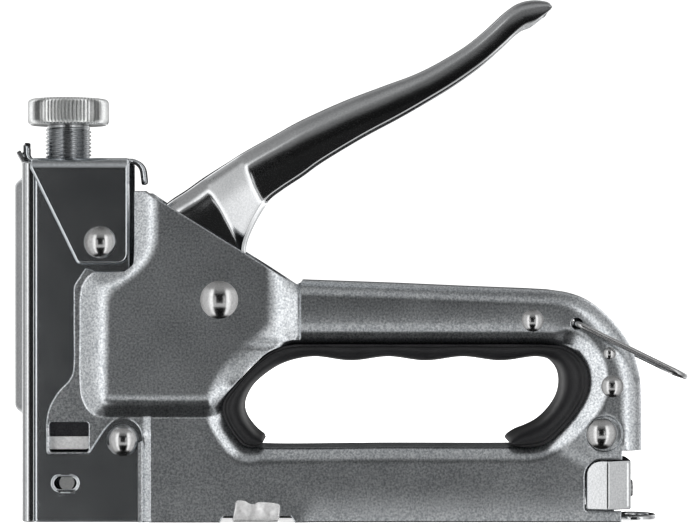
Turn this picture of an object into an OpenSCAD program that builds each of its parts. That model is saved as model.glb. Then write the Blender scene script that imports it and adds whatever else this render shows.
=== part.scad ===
// Hand staple gun with drawn sheet-steel shells, a squeeze lever, a threaded spring adjuster,
// a wire lever lock and a pull-out magazine. Nose towards -X, lever above, +Z up, middle plane Y = 0.
// Half widths are measured from the middle plane.

/* [Body] */
// Thickness of the drawn shells
sheet = 1.2; // [1:0.1:1.3]
// Half width of the raised main housing
main_y = 13; // [12.8:0.1:13.4]
// Half width of the handle tube
handle_y = 12; // [11.8:0.1:12.2]
// Half width of the lower channel
channel_y = 10; // [9.9:0.05:10.2]
// Half width of the black grip insert
grip_y = 12.2; // [11.5:0.1:12.6]

/* [Nose] */
// Half width of the nose frame
nose_y = 8.5; // [8.4:0.05:8.6]
// Front face of the nose frame
nose_x = -81.3; // [-81.4:0.1:-81.2]
// Top edge of the nose frame
nose_top = 92.2; // [92:0.1:92.4]
// Sheet thickness of the top bracket
bracket_t = 1.3; // [1.2:0.05:1.4]
// Front face of the front cover
cover_x = -84.7; // [-84.8:0.05:-84.6]
// How far the pressed rib stands out of the front cover
rib_h = 2.6; // [2:0.1:2.8]

/* [Adjuster] */
// Knob head radius
knob_r = 10.5; // [9:0.5:11]
// Thread crest radius
thread_r = 5.95; // [5.9:0.05:6]
// Thread pitch
pitch = 1; // [1:0.25:1.5]

/* [Lever] */
// Half width of the lever's grip
lever_y = 11; // [10.5:0.1:11.2]
// Half width of the lever between the shells
neck_y = 7; // [6.8:0.1:7]
// Thickness of the lever's sheet
lever_t = 1.3; // [1.2:0.05:1.35]
// Radius of the lever's pivot pin
pivot_r = 3; // [2.8:0.1:3.2]

/* [Lock] */
// Radius of the lock bail's wire
wire_r = 0.75; // [0.7:0.05:0.8]

/* [Magazine] */
// Half width of the staple track
track_y = 4.8; // [4.6:0.1:4.9]
// Top of the staple track
track_top = 14.2; // [14:0.1:14.3]
// Radius of the pusher rod
rod_r = 1.25; // [1.1:0.05:1.3]

/* [Hidden] */
$fn = 48;

axis_x = -73.45;
pivot = [-33.6, 57.1];
upper_nose = [-64.3, 71.8];
lower_nose = [-58.6, 21];
handle_spot = [46.4, 51.8];
small_rear = [66, 43.4];
middle_rear = [66.7, 35];
lower_rear = [64.1, 22.9];
bail_spot = [57.7, 51];
slot_spot = [-73.3, 10];

bracket_y = nose_y + bracket_t;
flange_y = nose_y + sheet;
main_in = main_y - sheet;
nose_in = nose_y - sheet;
shank_r = 2;
fit = 0.05;
past = 1;
open = -3;

steel = "silver";
mirror_steel = "dimgray";
dark_steel = "slategray";

// ---- outlines, all counter-clockwise in X and Z ----

function unit(v) = v / norm(v);
function inward(v) = [-v[1], v[0]];
function cross2(a, b) = a[0] * b[1] - a[1] * b[0];

// Corner b of an outline, with the edges a-b and b-c moved inwards by da and db
function moved(a, b, c, da, db) =
    let (n = inward(unit(b - a)), m = inward(unit(c - b)), det = cross2(n, m))
    b + [(da * m[1] - db * n[1]) / det, (db * n[0] - da * m[0]) / det];

// Outline p with edge i moved inwards by d[i]
function inset(p, d) = [for (i = [0:len(p) - 1])
    let (n = len(p), j = (i + n - 1) % n) moved(p[j], p[i], p[(i + 1) % n], d[j], d[i])];

// The same distance for n edges
function same(d, n) = [for (i = [1:n]) d];

// Corner b between a and c as an arc of radius r
function arc(a, b, c, r, steps) =
    let (u = unit(a - b), v = unit(c - b), half = acos(u * v) / 2,
         centre = b + unit(u + v) * r / sin(half), start = b + u * r / tan(half) - centre,
         sweep = (180 - 2 * half) * sign(cross2(b - a, c - b)))
    [for (k = [0:steps]) let (t = sweep * k / steps)
        centre + [start[0] * cos(t) - start[1] * sin(t), start[0] * sin(t) + start[1] * cos(t)]];

// Outline p with corner i rounded to the radius r[i]
function rounded(p, r, steps = 6) = [for (i = [0:len(p) - 1])
    let (n = len(p), a = p[(i + n - 1) % n], c = p[(i + 1) % n])
    each (r[i] > 0 ? arc(a, p[i], c, r[i], steps) : [p[i]])];

// The opening for the fingers, between handle tube and lower channel
opening_corners = [[-27, 19.3], [51.5, 19.3], [63, 37], [58.6, 45.5], [-20, 45.5], [-34.8, 29]];
opening_radii = [4, 6, 7, 5, 10, 3];
opening = rounded(opening_corners, opening_radii);
opening_rim = rounded(inset(opening_corners, same(-sheet, 6)), opening_radii + same(sheet, 6));

// Raised main housing; its slanted top edge is open for the lever
main_corners = [[-63.5, 26.3], [-35.2, 26.3], [-35.2, 31.5], [-29.3, 42.3], [-22.3, 47.8],
                [-13.2, 48.8], [-13.2, 60.5], [-53, 85.1], [-53.5, 70.5], [-57.5, 65.3],
                [-63.5, 61], [-66.5, 57], [-66.5, 36], [-68.3, 32], [-66.8, 28]];
main_edges = [for (i = [0:14]) i == 6 ? open : sheet];

// Handle tube with its round rear end and the rim that runs under the finger opening
handle_corners = [[-36, 25], [-35, 20.5], [-29.5, 16.6], [60.5, 16.6], [62.5, 18.3],
                  [74.7, 18.3], [74.7, 34], [74.2, 45.5], [58.5, 59.6], [-12.7, 62.3],
                  [-14.2, 60.9], [-30, 50], [-40, 40], [-40, 28]];
handle_edges = [for (i = [0:13]) i > 8 ? 0 : sheet];
handle_radii = [0, 3, 4, 1, 1, 1, 8, 10, 14, 1, 0, 0, 0, 0];

// Lower channel, open at the bottom and at both ends
channel_end = 69.3;
channel_corners = [[-53.4, 0], [channel_end, 0], [channel_end, 19.3], [-30, 19.3], [-36, 28],
                   [-53.4, 28]];
channel_edges = [open, open, sheet, 0, 0, open];

// Flat flange of the shell that lies on the nose frame
flange_corners = [[-78.1, 17.4], [-67.2, 17.4], [-62.4, 25.2], [-58.2, 28], [-54.2, 25.4],
                  [-53.4, 21.5], [-51.5, 21.5], [-51.5, 84.1], [-52.9, 84.9], [-55.8, 84.9],
                  [-55.8, 66.4], [-58, 64.5], [-65.5, 64.4], [-68, 65.2], [-71.1, 60.5],
                  [-71.2, 37.5], [-75.6, 33.2], [-78.1, 26.5]];
flange_radii = [1, 1.5, 2, 2.5, 2, 0, 0, 0, 0, 0, 1, 1, 1, 0.8, 3, 3, 4, 3];
flange = rounded(flange_corners, flange_radii);
window = rounded([[-77.1, 18.2], [-67.4, 18.2], [-67.4, 25.5], [-77.1, 25.5]], same(0.6, 4), 3);
rear_recess = rounded([[59.9, 2.8], [80, 2.8], [80, 16.1], [59.9, 16.1]], [1, 0, 0, 4.2]);

// Inside of the grip insert, open downwards over the floor of the finger opening
wave_low = 41.3;
wave_high = 42.4;
wave_left = -9.7;
wave_pitch = 19.3;
wave_mid = (wave_low + wave_high) / 2;
wave_size = (wave_high - wave_low) / 2;
grip_wave = [for (k = [0:24]) let (x = wave_left + wave_pitch * 3 * (24 - k) / 24)
    [x, wave_mid + wave_size * cos(360 * (x - wave_left) / wave_pitch)]];
grip_left = rounded([[-9.7, 42.4], [-17.5, 41.2], [-29, 29.6], [-24.2, 22.4], [-22.6, 18]],
                    [0, 6, 3.5, 2, 0]);
grip_right = rounded([[39.8, 18], [39.8, 22.5], [47.6, 24.6], [55.8, 34.8], [52.6, 42.4],
                      [48.2, 42.4]], [0, 0.8, 5, 6, 4.5, 0]);

// Side of the lever: grip, neck between the shells, pivot and the arm that lifts the hammer
arm_angle = 20;
arm_reach = 38;
arm_half = 2.6;
arm_along = [-cos(arm_angle), -sin(arm_angle)];
arm_tip = pivot + arm_reach * arm_along;
arm_side = arm_half * inward(arm_along);
lever_front = [[-60.9, 50.2], arm_tip - arm_side, arm_tip + arm_side];
lever_back = [[-42, 48.6], [-33.6, 48.6], [-26.6, 51.8], [-25.1, 58], [-28.2, 70], [-26.2, 76],
              [-22.3, 82.6], [-12.8, 89.5], [0.3, 98.1], [16, 106.5], [31.6, 116.4], [42, 125.7]];
lever_end = rounded([[42, 125.7], [44.6, 128.2], [48, 128.5], [52.4, 132.2], [48.6, 135],
                     [43, 133.7], [34.7, 126.5]], [0, 1, 1.5, 1, 4, 5, 0]);
lever_top = [[21.5, 117.5], [8.3, 112.2], [-2.3, 108], [-12.9, 103.2], [-31, 93], [-47.5, 81.9],
             [-51.5, 77.5], [-53.5, 71.5], [-54.5, 64], [-57, 57.5]];
lever_side = concat(lever_front, lever_back, lever_end, lever_top);
plan_angle = 27;
ramp_start = 6.9;
ramp_end = 17.3;
plan_low = -50;
plan_high = 106.6;
tip_y = 7.5;

// ---- shared shapes ----

// A plate with its outline in X and Z, from y0 to y1
module plate(p, y0, y1) {
    translate([0, y1, 0]) rotate([90, 0, 0]) linear_extrude(y1 - y0) polygon(p);
}

// A bar along Y at spot, given in X and Z
module bar(spot, r, y0, y1) {
    translate([spot[0], y1, spot[1]]) rotate([90, 0, 0]) cylinder(r = r, h = y1 - y0);
}

module both() {
    children();
    mirror([0, 1, 0]) children();
}

// The cap of a sphere with base radius r and height h, standing on +Y at spot and y
module dome(spot, r, h, y) {
    ball = (r * r + h * h) / (2 * h);
    intersection() {
        translate([spot[0], y + h - ball, spot[1]]) sphere(r = ball, $fn = 64);
        bar(spot, r + past, y, y + h + past);
    }
}

// A solid rivet through both sides, with a domed head on each
module rivet(spot, r, h, y, shank) {
    bar(spot, shank, -y, y);
    both() dome(spot, r, h, y);
}

// A round wire wound along +Z, its centre line from height 0 to length
module coil(r, wire, length, turns, segments = 14, sides = 6) {
    steps = turns * segments;
    points = [for (k = [0:steps]) for (s = [0:sides - 1])
        let (a = 360 * k / segments, b = 360 * s / sides, w = r + wire * cos(b))
        [w * cos(a), w * sin(a), length * k / steps + wire * sin(b)]];
    walls = [for (k = [0:steps - 1]) for (s = [0:sides - 1])
        let (t = (s + 1) % sides, i = k * sides, j = i + sides)
        each [[i + s, i + t, j + t], [i + s, j + t, j + s]]];
    first = [for (s = [0:sides - 1]) sides - 1 - s];
    last = [for (s = [0:sides - 1]) steps * sides + s];
    polyhedron(points, concat(walls, [first, last]), convexity = 10);
}

// A straight wire between two points
module wire(a, b, r) {
    d = b - a;
    translate(a) rotate([0, acos(d[2] / norm(d)), atan2(d[1], d[0])]) cylinder(r = r, h = norm(d));
}

// ---- casing ----

module shell_holes() {
    bar(upper_nose, shank_r, 0, main_y);
    bar(pivot, pivot_r, 0, main_y + past);
    bar(handle_spot, 1.6, 0, main_y);
    bar(small_rear, 0.9, 0, main_y);
    bar(middle_rear, 1.6, 0, main_y);
    bar(lower_rear, shank_r, 0, main_y);
    bar(bail_spot, wire_r + fit, 0, main_y);
    bar(bail_spot, 1.35, handle_y - 0.5, main_y);
}

module shell() {
    difference() {
        union() {
            plate(main_corners, 0, main_y);
            plate(rounded(handle_corners, handle_radii), 0, handle_y);
            plate(channel_corners, 0, channel_y);
            plate(flange, nose_y, flange_y);
        }
        plate(inset(main_corners, main_edges), -past, main_in);
        difference() {
            plate(inset(handle_corners, handle_edges), -past, handle_y - sheet);
            plate(opening_rim, -2 * past, handle_y);
        }
        plate(inset(channel_corners, channel_edges), -past, channel_y - sheet);
        plate(opening, -past, main_y + past);
        translate([-100, -past, -past]) cube([48.2, nose_y + past, 120]);
        plate(window, 0, main_y);
        plate(rear_recess, 0, channel_y + past);
        translate([-33.5, 0, -past]) cube([19, main_y, 2.4]);
        shell_holes();
    }
}

module left_shell() {
    color(steel) mirror([0, 1, 0]) shell();
}

module right_shell() {
    color(steel) shell();
}

module grip_insert() {
    color([0.05, 0.05, 0.05]) difference() {
        plate(opening, -grip_y, grip_y);
        plate(concat(grip_wave, grip_left, grip_right), -grip_y - past, grip_y + past);
    }
}

// ---- nose ----

slot_half = 1.4;
slot_r = 2.1;
slot_lip = 0.5;

module slot_prism(r, y0, y1) {
    translate([slot_spot[0], y1, slot_spot[1]]) rotate([90, 0, 0]) linear_extrude(y1 - y0) {
        for (dx = [-slot_half, slot_half]) translate([dx, 0]) circle(r = r);
        square([2 * slot_half, 2 * r], center = true);
    }
}

nose_side = [[nose_x, 0], [-53.2, 0], [-53.2, 60], [-56.2, 64], [-56.2, nose_top],
             [nose_x, nose_top]];

module nose_frame() {
    color(mirror_steel) difference() {
        union() {
            both() plate(nose_side, nose_in, nose_y);
            translate([nose_x, -nose_y, 0]) cube([sheet, 2 * nose_y, nose_top]);
            both() slot_prism(slot_r + slot_lip, nose_y - past, nose_y + 0.35);
        }
        both() slot_prism(slot_r, 0, nose_y + past);
        translate([nose_x - past, -4.6, -past]) cube([sheet + 2 * past, 9.2, 89]);
        translate([nose_x - past, -6.6, -past]) cube([sheet + 2 * past, 13.2, 17]);
        both() plate(window, 0, nose_y + past);
        bar(upper_nose, shank_r, -main_y, main_y);
        bar(lower_nose, shank_r, -main_y, main_y);
    }
}

module front_cover() {
    tab_top = 97.6;
    lip_lean = 27;
    rib = rounded([[-3.4, 27], [3.4, 27], [3.4, 89], [-3.4, 89]], same(3.3, 4));
    color(steel) {
        difference() {
            translate([cover_x, -nose_y, 0]) cube([2.7, 2 * nose_y, 92.6]);
            translate([cover_x + sheet, -nose_in, -past]) cube([3, 2 * nose_in, 96]);
        }
        for (z = [12, 62]) both() translate([cover_x + past, 6.2, z]) cube([2.4, nose_in - 6, 4]);
        translate([cover_x, -2.2, 92]) cube([sheet, 4.4, tab_top - 92]);
        both() translate([cover_x, 2.7, 91.2]) rotate([0, -lip_lean, 0])
            translate([0, 0, -0.2]) cube([1.1, 2, 4.4]);
        translate([cover_x + past, 0, 0]) rotate([90, 0, -90])
            linear_extrude(rib_h + past) polygon(rib);
    }
}

module top_bracket() {
    top = nose_top + bracket_t;
    side = rounded([[-82.3, 90.7], [-70.3, 66.1], [-57.1, 66.1], [-57.1, top], [-82.3, top]],
                   [1, 2, 2, 0, 0]);
    boss_r = 6.6;
    bend = 6.2;
    color(mirror_steel) difference() {
        union() {
            both() plate(side, nose_y, bracket_y);
            translate([-82.3, -bracket_y, nose_top]) cube([25.2, 2 * bracket_y, bracket_t]);
            translate([-83.5, -3, nose_top]) cube([sheet, 6, 5.4]);
            translate([axis_x, 0, nose_top - 2.6]) cylinder(r = boss_r, h = 3);
            translate([-58.4, -4, nose_top]) cube([1.4, 8, bracket_t]);
            translate([-57.2, 0, top - bend]) intersection() {
                rotate([90, 0, 0]) difference() {
                    cylinder(r = bend, h = 8, center = true);
                    cylinder(r = bend - bracket_t, h = 9, center = true);
                }
                translate([0, -5, 0]) cube(10);
            }
        }
        translate([axis_x, 0, nose_top - 4]) cylinder(r = thread_r + fit, h = 8);
        bar(upper_nose, shank_r, -main_y, main_y);
    }
}

pin_spot = [-72.9, 10.1];
pin_r = 1.95;

module nose_pin() {
    color(steel) bar(pin_spot, pin_r, -nose_y, nose_y);
}

module hammer_stop() {
    profile = rounded([[-79, 18.6], [-66.8, 18.6], [-66.8, 21.9], [-79, 21.9]],
                      [1.6, 1.6, 0.6, 0.6]);
    color(steel) plate(profile, -nose_in, nose_in);
}

// ---- adjuster and firing train ----

seat_top = 86.5;
seat_bottom = 84;
spring_floor = 27;
spring_wire = 0.85;
spring_mid = 4.35;
head_low = 102.2;
head_h = 6.8;
root_r = thread_r - 0.6;
crest = 0.08;
swivel_r = 1.95;

module adjuster_knob() {
    turns = 14;
    ridge = [[0, 0], [root_r, 0], [thread_r, pitch / 2 - crest], [thread_r, pitch / 2 + crest],
             [root_r, pitch], [0, pitch]];
    color(steel) translate([axis_x, 0, 0]) {
        translate([0, 0, head_low]) difference() {
            cylinder(r = knob_r, h = head_h);
            translate([0, 0, head_h - 0.5]) cylinder(r = knob_r - 2.2, h = past);
        }
        translate([0, 0, seat_top]) cylinder(r = root_r, h = head_low - seat_top + 0.1);
        rotate_extrude() for (k = [0:turns]) translate([0, seat_top + 0.1 + k * pitch])
            polygon(ridge);
        translate([0, 0, seat_top - 1.5]) cylinder(r = swivel_r, h = 2);
    }
}

module spring_seat() {
    color(dark_steel) translate([axis_x, 0, 0]) difference() {
        union() {
            translate([0, 0, seat_bottom]) cylinder(r = 5.8, h = seat_top - seat_bottom);
            translate([0, 0, seat_bottom - 5]) cylinder(r = 3.1, h = 6);
        }
        translate([0, 0, seat_top - 1.6]) cylinder(r = swivel_r + fit, h = 3);
    }
}

module main_spring() {
    travel = seat_bottom - spring_floor - 2 * spring_wire;
    color(steel) translate([axis_x, 0, spring_floor + spring_wire])
        coil(spring_mid, spring_wire, travel, 12);
}

// Heights of the two rivets that hold the blade, and their radius
blade_spots = [30, 44];
blade_rivet_r = 1.2;

module blade_bars(x, length) {
    for (z = blade_spots) translate([x, 0, z]) rotate([0, 90, 0]) cylinder(r = blade_rivet_r, h = length);
}

module hammer() {
    window_low = arm_tip[1] - arm_half - 0.5;
    window_high = arm_tip[1] + arm_half + 2.2;
    color(dark_steel) difference() {
        union() {
            translate([-79.9, -neck_y, 22]) cube([13, 2 * neck_y, 30]);
            translate([-82, -3.4, 24]) cube([4, 6.8, 26]);
        }
        translate([axis_x, 0, spring_floor]) cylinder(r = 5.5, h = 40);
        both() translate([-77, 5.3, window_low]) cube([12, 3, window_high - window_low]);
        blade_bars(-83, 4);
    }
}

module driver_blade() {
    color(steel) difference() {
        translate([-83.2, -5.7, 0.3]) cube([1.2, 11.4, 49.7]);
        blade_bars(-84, 4);
    }
}

module blade_rivets() {
    color(steel) blade_bars(-83.2, 4.2);
}

// ---- lever ----

// Everything within the lever's half width, which changes along its length; cut makes it narrower
module lever_body(cut) {
    half = [[plan_low, neck_y - cut], [ramp_start, neck_y - cut], [ramp_end, lever_y - cut],
            [plan_high - 9, lever_y - cut], [plan_high, tip_y - cut]];
    outline = concat([for (p = half) [p[0], -p[1]]], [for (i = [4:-1:0]) half[i]]);
    rotate([0, -plan_angle, 0]) translate([0, 0, -40]) linear_extrude(200) polygon(outline);
}

module lever() {
    drop = [0.6, -1.3];
    hollow = [for (p = lever_side) p + drop];
    color(steel) difference() {
        intersection() {
            union() {
                plate(lever_side, -lever_y - past, lever_y + past);
                bar(arm_tip, arm_half, -lever_y, lever_y);
            }
            lever_body(0);
        }
        intersection() {
            union() {
                plate(hollow, -lever_y, lever_y);
                translate([-80, -lever_y, 30]) cube([27.5, 2 * lever_y, 40]);
                translate([-80, -lever_y, 30]) cube([56, 2 * lever_y, 28]);
            }
            lever_body(lever_t);
            translate([-90, -20, 0]) cube([132, 40, 140]);
        }
        bar(pivot, pivot_r + fit, -main_y, main_y);
    }
}

module lever_pivot_pin() {
    color(steel) rivet(pivot, 4.85, 1.7, main_y, pivot_r);
}

module pivot_spacers() {
    color(dark_steel) both() difference() {
        bar(pivot, 5, neck_y + 0.3, main_in);
        bar(pivot, pivot_r + 0.02, 0, main_y);
    }
}

module lever_return_spring() {
    turn_r = 4.3;
    color(steel) {
        translate([pivot[0], 3.2, pivot[1]]) rotate([90, 0, 0]) coil(turn_r, 0.5, 6.4, 5, 14, 6);
        wire([pivot[0] + turn_r, -3.2, pivot[1]], [-57.2, -3.2, 17.8], 0.5);
        wire([pivot[0] + turn_r, 3.2, pivot[1]], [-44, 3.2, 81.4], 0.5);
    }
}

// ---- rivets ----

module upper_nose_rivet() { color(steel) rivet(upper_nose, 4.15, 2.1, bracket_y, shank_r); }
module lower_nose_rivet() { color(steel) rivet(lower_nose, 4.1, 2.1, nose_y, shank_r); }
module handle_rivet() { color(steel) rivet(handle_spot, 2.85, 1.2, handle_y, 1.6); }
module small_rear_rivet() { color(steel) rivet(small_rear, 1.6, 0.6, handle_y, 0.9); }
module middle_rear_rivet() { color(steel) rivet(middle_rear, 2.85, 1.2, handle_y, 1.6); }
module lower_rear_rivet() { color(steel) rivet(lower_rear, 4, 1.6, handle_y, shank_r); }

// ---- lever lock ----

// A quarter ring of wire about the origin, from +X to +Y
module wire_bend(r) {
    rotate_extrude(angle = 90) translate([r, 0]) circle(r = wire_r);
}

module lock_bail() {
    y = 13.6;
    bend = 4;
    end_bend = 1.8;
    far = [85.5, 37.45];
    foot = handle_y - 2;
    corner = y - end_bend;
    reach = norm(far - bail_spot);
    slope = atan2(bail_spot[1] - far[1], far[0] - bail_spot[0]);
    color(steel) translate([bail_spot[0], 0, bail_spot[1]]) rotate([0, slope, 0]) {
        both() {
            translate([0, corner, 0]) rotate([90, 0, 0]) cylinder(r = wire_r, h = corner - foot);
            translate([end_bend, corner, 0]) rotate([0, 0, 90]) wire_bend(end_bend);
            translate([end_bend, y, 0]) rotate([0, 90, 0])
                cylinder(r = wire_r, h = reach - bend - end_bend);
            translate([reach - bend, y - bend, 0]) wire_bend(bend);
        }
        translate([reach, y - bend, 0]) rotate([90, 0, 0]) cylinder(r = wire_r, h = 2 * (y - bend));
    }
}

// ---- magazine ----

rod_z = 8;

module magazine_track() {
    clip = [[-30.3, 0.1], [-18.4, 0.1], [-18, 4.4], [-29.5, 5.9]];
    color(steel) difference() {
        union() {
            difference() {
                translate([-79.5, -track_y, 0.6]) cube([137.5, 2 * track_y, track_top - 0.6]);
                translate([-80, -track_y + past, 0]) cube([140, 2 * track_y - 2, track_top - past]);
                translate([-70, -1.3, 5]) cube([140, 2.6, 12]);
            }
            both() translate([-30.3, track_y - 0.4, 0.1]) cube([12.3, 11.2 - track_y + 0.4, 1.1]);
            both() plate(clip, channel_y + 0.15, 11.2);
        }
        bar(pin_spot, pin_r, -nose_y, nose_y);
    }
}

module pusher_rod() {
    color(steel) {
        translate([-69.5, 0, rod_z]) rotate([0, 90, 0]) cylinder(r = rod_r, h = 141.7);
        translate([72.2, 0, rod_z]) rotate([0, 90, 0]) cylinder(r = 2.2, h = 0.9);
    }
}

module staple_pusher() {
    color(dark_steel) difference() {
        union() {
            translate([-79, -6.2, 14.5]) cube([21, 12.4, 1.2]);
            both() translate([-79, 5.1, 12.6]) cube([21, 1.1, 3.1]);
            both() translate([-69.5, 5.1, 2]) cube([11.5, 1.1, 13.7]);
            translate([-68, -0.9, 10]) cube([8, 1.8, 5]);
            translate([-68, -3.4, 4.6]) cube([8, 6.8, 6.8]);
        }
        translate([-75, 0, rod_z]) rotate([0, 90, 0]) cylinder(r = rod_r + fit, h = 20);
    }
}

module pusher_spring() {
    color(steel) translate([-59.6, 0, rod_z]) rotate([0, 90, 0]) coil(2, 0.35, 130.2, 30, 10, 5);
}

module end_cap() {
    wing = rounded([[60.3, 3.1], [71.6, 3.1], [71.6, 15.8], [60.3, 15.8]], [0.8, 0, 0, 3.9]);
    color(steel) difference() {
        union() {
            both() plate(wing, 8, 9.2);
            translate([71, -9.2, 3.1]) cube([1.2, 18.4, 12.7]);
        }
        translate([70, 0, rod_z]) rotate([0, 90, 0]) cylinder(r = rod_r, h = 4);
    }
}

module pull_tab() {
    color(steel) difference() {
        union() {
            translate([64, -4.5, 0.3]) cube([9.3, 9, 1.3]);
            translate([73.3, 0, 0.3]) cylinder(r = 6, h = 1.3);
            translate([69.8, -3.5, 0.4]) cube([1.2, 7, 5]);
        }
        translate([74.4, 0, -past]) cylinder(r = 3, h = 4);
    }
}

left_shell();
right_shell();
nose_frame();
front_cover();
top_bracket();
adjuster_knob();
spring_seat();
main_spring();
hammer();
driver_blade();
blade_rivets();
hammer_stop();
lever();
lever_pivot_pin();
pivot_spacers();
lever_return_spring();
upper_nose_rivet();
lower_nose_rivet();
handle_rivet();
small_rear_rivet();
middle_rear_rivet();
lower_rear_rivet();
nose_pin();
grip_insert();
lock_bail();
magazine_track();
pusher_rod();
staple_pusher();
pusher_spring();
end_cap();
pull_tab();
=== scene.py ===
"""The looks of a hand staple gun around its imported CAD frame.
Lengths are in millimetres until a mesh is made. Nose towards -X, the side in view is -Y, +Z up."""

import math

import bpy
import numpy as np
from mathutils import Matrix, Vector
from mathutils.geometry import delaunay_2d_cdt


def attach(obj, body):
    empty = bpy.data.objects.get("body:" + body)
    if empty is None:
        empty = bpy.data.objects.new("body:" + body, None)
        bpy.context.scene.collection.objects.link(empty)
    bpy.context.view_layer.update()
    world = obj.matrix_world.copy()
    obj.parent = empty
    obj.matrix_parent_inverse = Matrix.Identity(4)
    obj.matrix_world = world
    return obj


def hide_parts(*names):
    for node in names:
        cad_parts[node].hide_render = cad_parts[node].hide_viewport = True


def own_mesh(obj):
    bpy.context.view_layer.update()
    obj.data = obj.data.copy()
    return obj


MM = 0.001
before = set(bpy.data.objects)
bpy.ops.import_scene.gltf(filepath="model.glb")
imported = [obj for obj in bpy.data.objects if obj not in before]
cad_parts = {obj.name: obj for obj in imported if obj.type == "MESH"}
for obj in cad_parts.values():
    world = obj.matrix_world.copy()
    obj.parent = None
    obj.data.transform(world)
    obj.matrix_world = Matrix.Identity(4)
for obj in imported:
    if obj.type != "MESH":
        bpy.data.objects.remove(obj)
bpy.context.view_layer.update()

# ---- places and sizes ----

AXIS_X = -73.45
PIVOT = (-33.6, 57.1)
# half widths across the tool
NOSE_Y = 8.5
FLANGE_Y = 9.7
BRACKET_Y = 9.8
CHANNEL_Y = 10
HANDLE_Y = 12
MAIN_Y = 13
SHEET = 1.2

# ---- plane geometry ----


def unit(v):
    return v / np.maximum(np.linalg.norm(v, axis=-1, keepdims=True), 1e-12)


def spline(points, step=0.8, closed=False):
    """A smooth curve through the points, in nearly even steps."""
    p = np.array(points, float)
    if closed:
        p = np.vstack([p[-1], p, p[0], p[1]])
    else:
        p = np.vstack([2 * p[0] - p[1], p, 2 * p[-1] - p[-2]])
    out = []
    for i in range(1, len(p) - 2):
        a, b, c, d = p[i - 1], p[i], p[i + 1], p[i + 2]
        k1 = np.linalg.norm(b - a) ** 0.5
        k2 = k1 + np.linalg.norm(c - b) ** 0.5
        k3 = k2 + np.linalg.norm(d - c) ** 0.5
        n = max(1, round(np.linalg.norm(c - b) / step))
        t = (k1 + (k2 - k1) * np.arange(n) / n)[:, None]

        def between(start, end, u, v):
            return (end - t) / (end - start) * u + (t - start) / (end - start) * v

        bc = between(k1, k2, b, c)
        abc = between(0, k2, between(0, k1, a, b), bc)
        bcd = between(k1, k3, bc, between(k2, k3, c, d))
        out.append(between(k1, k2, abc, bcd))
    if not closed:
        out.append(p[-2][None])
    return np.vstack(out)


def rounded(points, radii, turn=12):
    """A closed outline with its corners rounded, one point each turn degrees."""
    p = np.array(points, float)
    out = []
    for i, r in enumerate(radii):
        a, b, c = p[i - 1], p[i], p[(i + 1) % len(p)]
        if r <= 0:
            out.append(b)
            continue
        u, v = unit(a - b), unit(c - b)
        half = math.acos(np.clip(u @ v, -1, 1)) / 2
        centre = b + unit(u + v) * r / math.sin(half)
        start, sweep = b + u * r / math.tan(half) - centre, math.pi - 2 * half
        side = np.sign(np.cross(b - a, c - b))
        n = max(2, round(math.degrees(sweep) / turn))
        for k in range(n + 1):
            cos, sin = math.cos(side * sweep * k / n), math.sin(side * sweep * k / n)
            out.append(centre + [start[0] * cos - start[1] * sin, start[0] * sin + start[1] * cos])
    return np.array(out)


def dense(loop, step=0.8, closed=True):
    """The same outline with its long edges cut into steps."""
    p = np.array(loop, float)
    q = np.roll(p, -1, 0) if closed else p[1:]
    out = []
    for a, b in zip(p, q):
        n = max(1, math.ceil(np.linalg.norm(b - a) / step))
        out.append(a + (b - a) * (np.arange(n) / n)[:, None])
    if not closed:
        out.append(p[-1:])
    return np.vstack(out)


def circle(centre, r, n=48):
    t = np.linspace(0, 2 * math.pi, n, endpoint=False)
    return np.stack([centre[0] + r * np.cos(t), centre[1] + r * np.sin(t)], 1)


def gap(p, line, closed=True):
    """Each point's distance to a line of points."""
    a = np.array(line, float)
    b = np.roll(a, -1, 0) if closed else a[1:]
    a = a if closed else a[:-1]
    d = b - a
    dd = np.maximum((d * d).sum(1), 1e-12)
    out = []
    for part in np.array_split(p, len(p) // 3000 + 1):
        v = part[:, None] - a
        t = np.clip((v * d).sum(2) / dd, 0, 1)
        out.append(np.sqrt(((v - t[..., None] * d) ** 2).sum(2)).min(1))
    return np.concatenate(out)


def inside(p, loop):
    a = np.array(loop, float)
    b = np.roll(a, -1, 0)
    odd = np.zeros(len(p), bool)
    for (ax, ay), (bx, by) in zip(a, b):
        if ay != by:
            crossing = (bx - ax) * (p[:, 1] - ay) / (by - ay) + ax
            odd ^= ((ay > p[:, 1]) != (by > p[:, 1])) & (p[:, 0] < crossing)
    return odd


def depth(p, loop):
    """How far inside an outline each point lies; negative outside."""
    return np.where(inside(p, loop), 1, -1) * gap(p, loop)


def soft(d, s):
    """max(0, d), with its corner rounded over s to each side."""
    return np.where(d <= -s, 0, np.where(d >= s, d, (d + s) ** 2 / (4 * s)))


def step(t):
    t = np.clip(t, 0, 1)
    return t * t * (3 - 2 * t)


def fall(d, w):
    """From 1 at an edge to 0 at the distance w, along a quarter round."""
    return 1 - np.sqrt(1 - (1 - np.clip(d / w, 0, 1)) ** 2)


def beside(line, offsets, closed=True, keep=0.06):
    """Points at each offset to either side of a line, leaving out those that its corners crowd."""
    p = dense(line, 0.7, closed)
    ahead = np.roll(p, -1, 0) - np.roll(p, 1, 0)
    if not closed:
        ahead[0], ahead[-1] = p[1] - p[0], p[-1] - p[-2]
    normal = unit(np.stack([-ahead[:, 1], ahead[:, 0]], 1))
    out = [p] if 0 in offsets else []
    for d in offsets:
        if d:
            q = p + normal * d
            out.append(q[np.abs(gap(q, line, closed) - abs(d)) < keep])
    return np.vstack(out)


# ---- meshes ----


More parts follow.
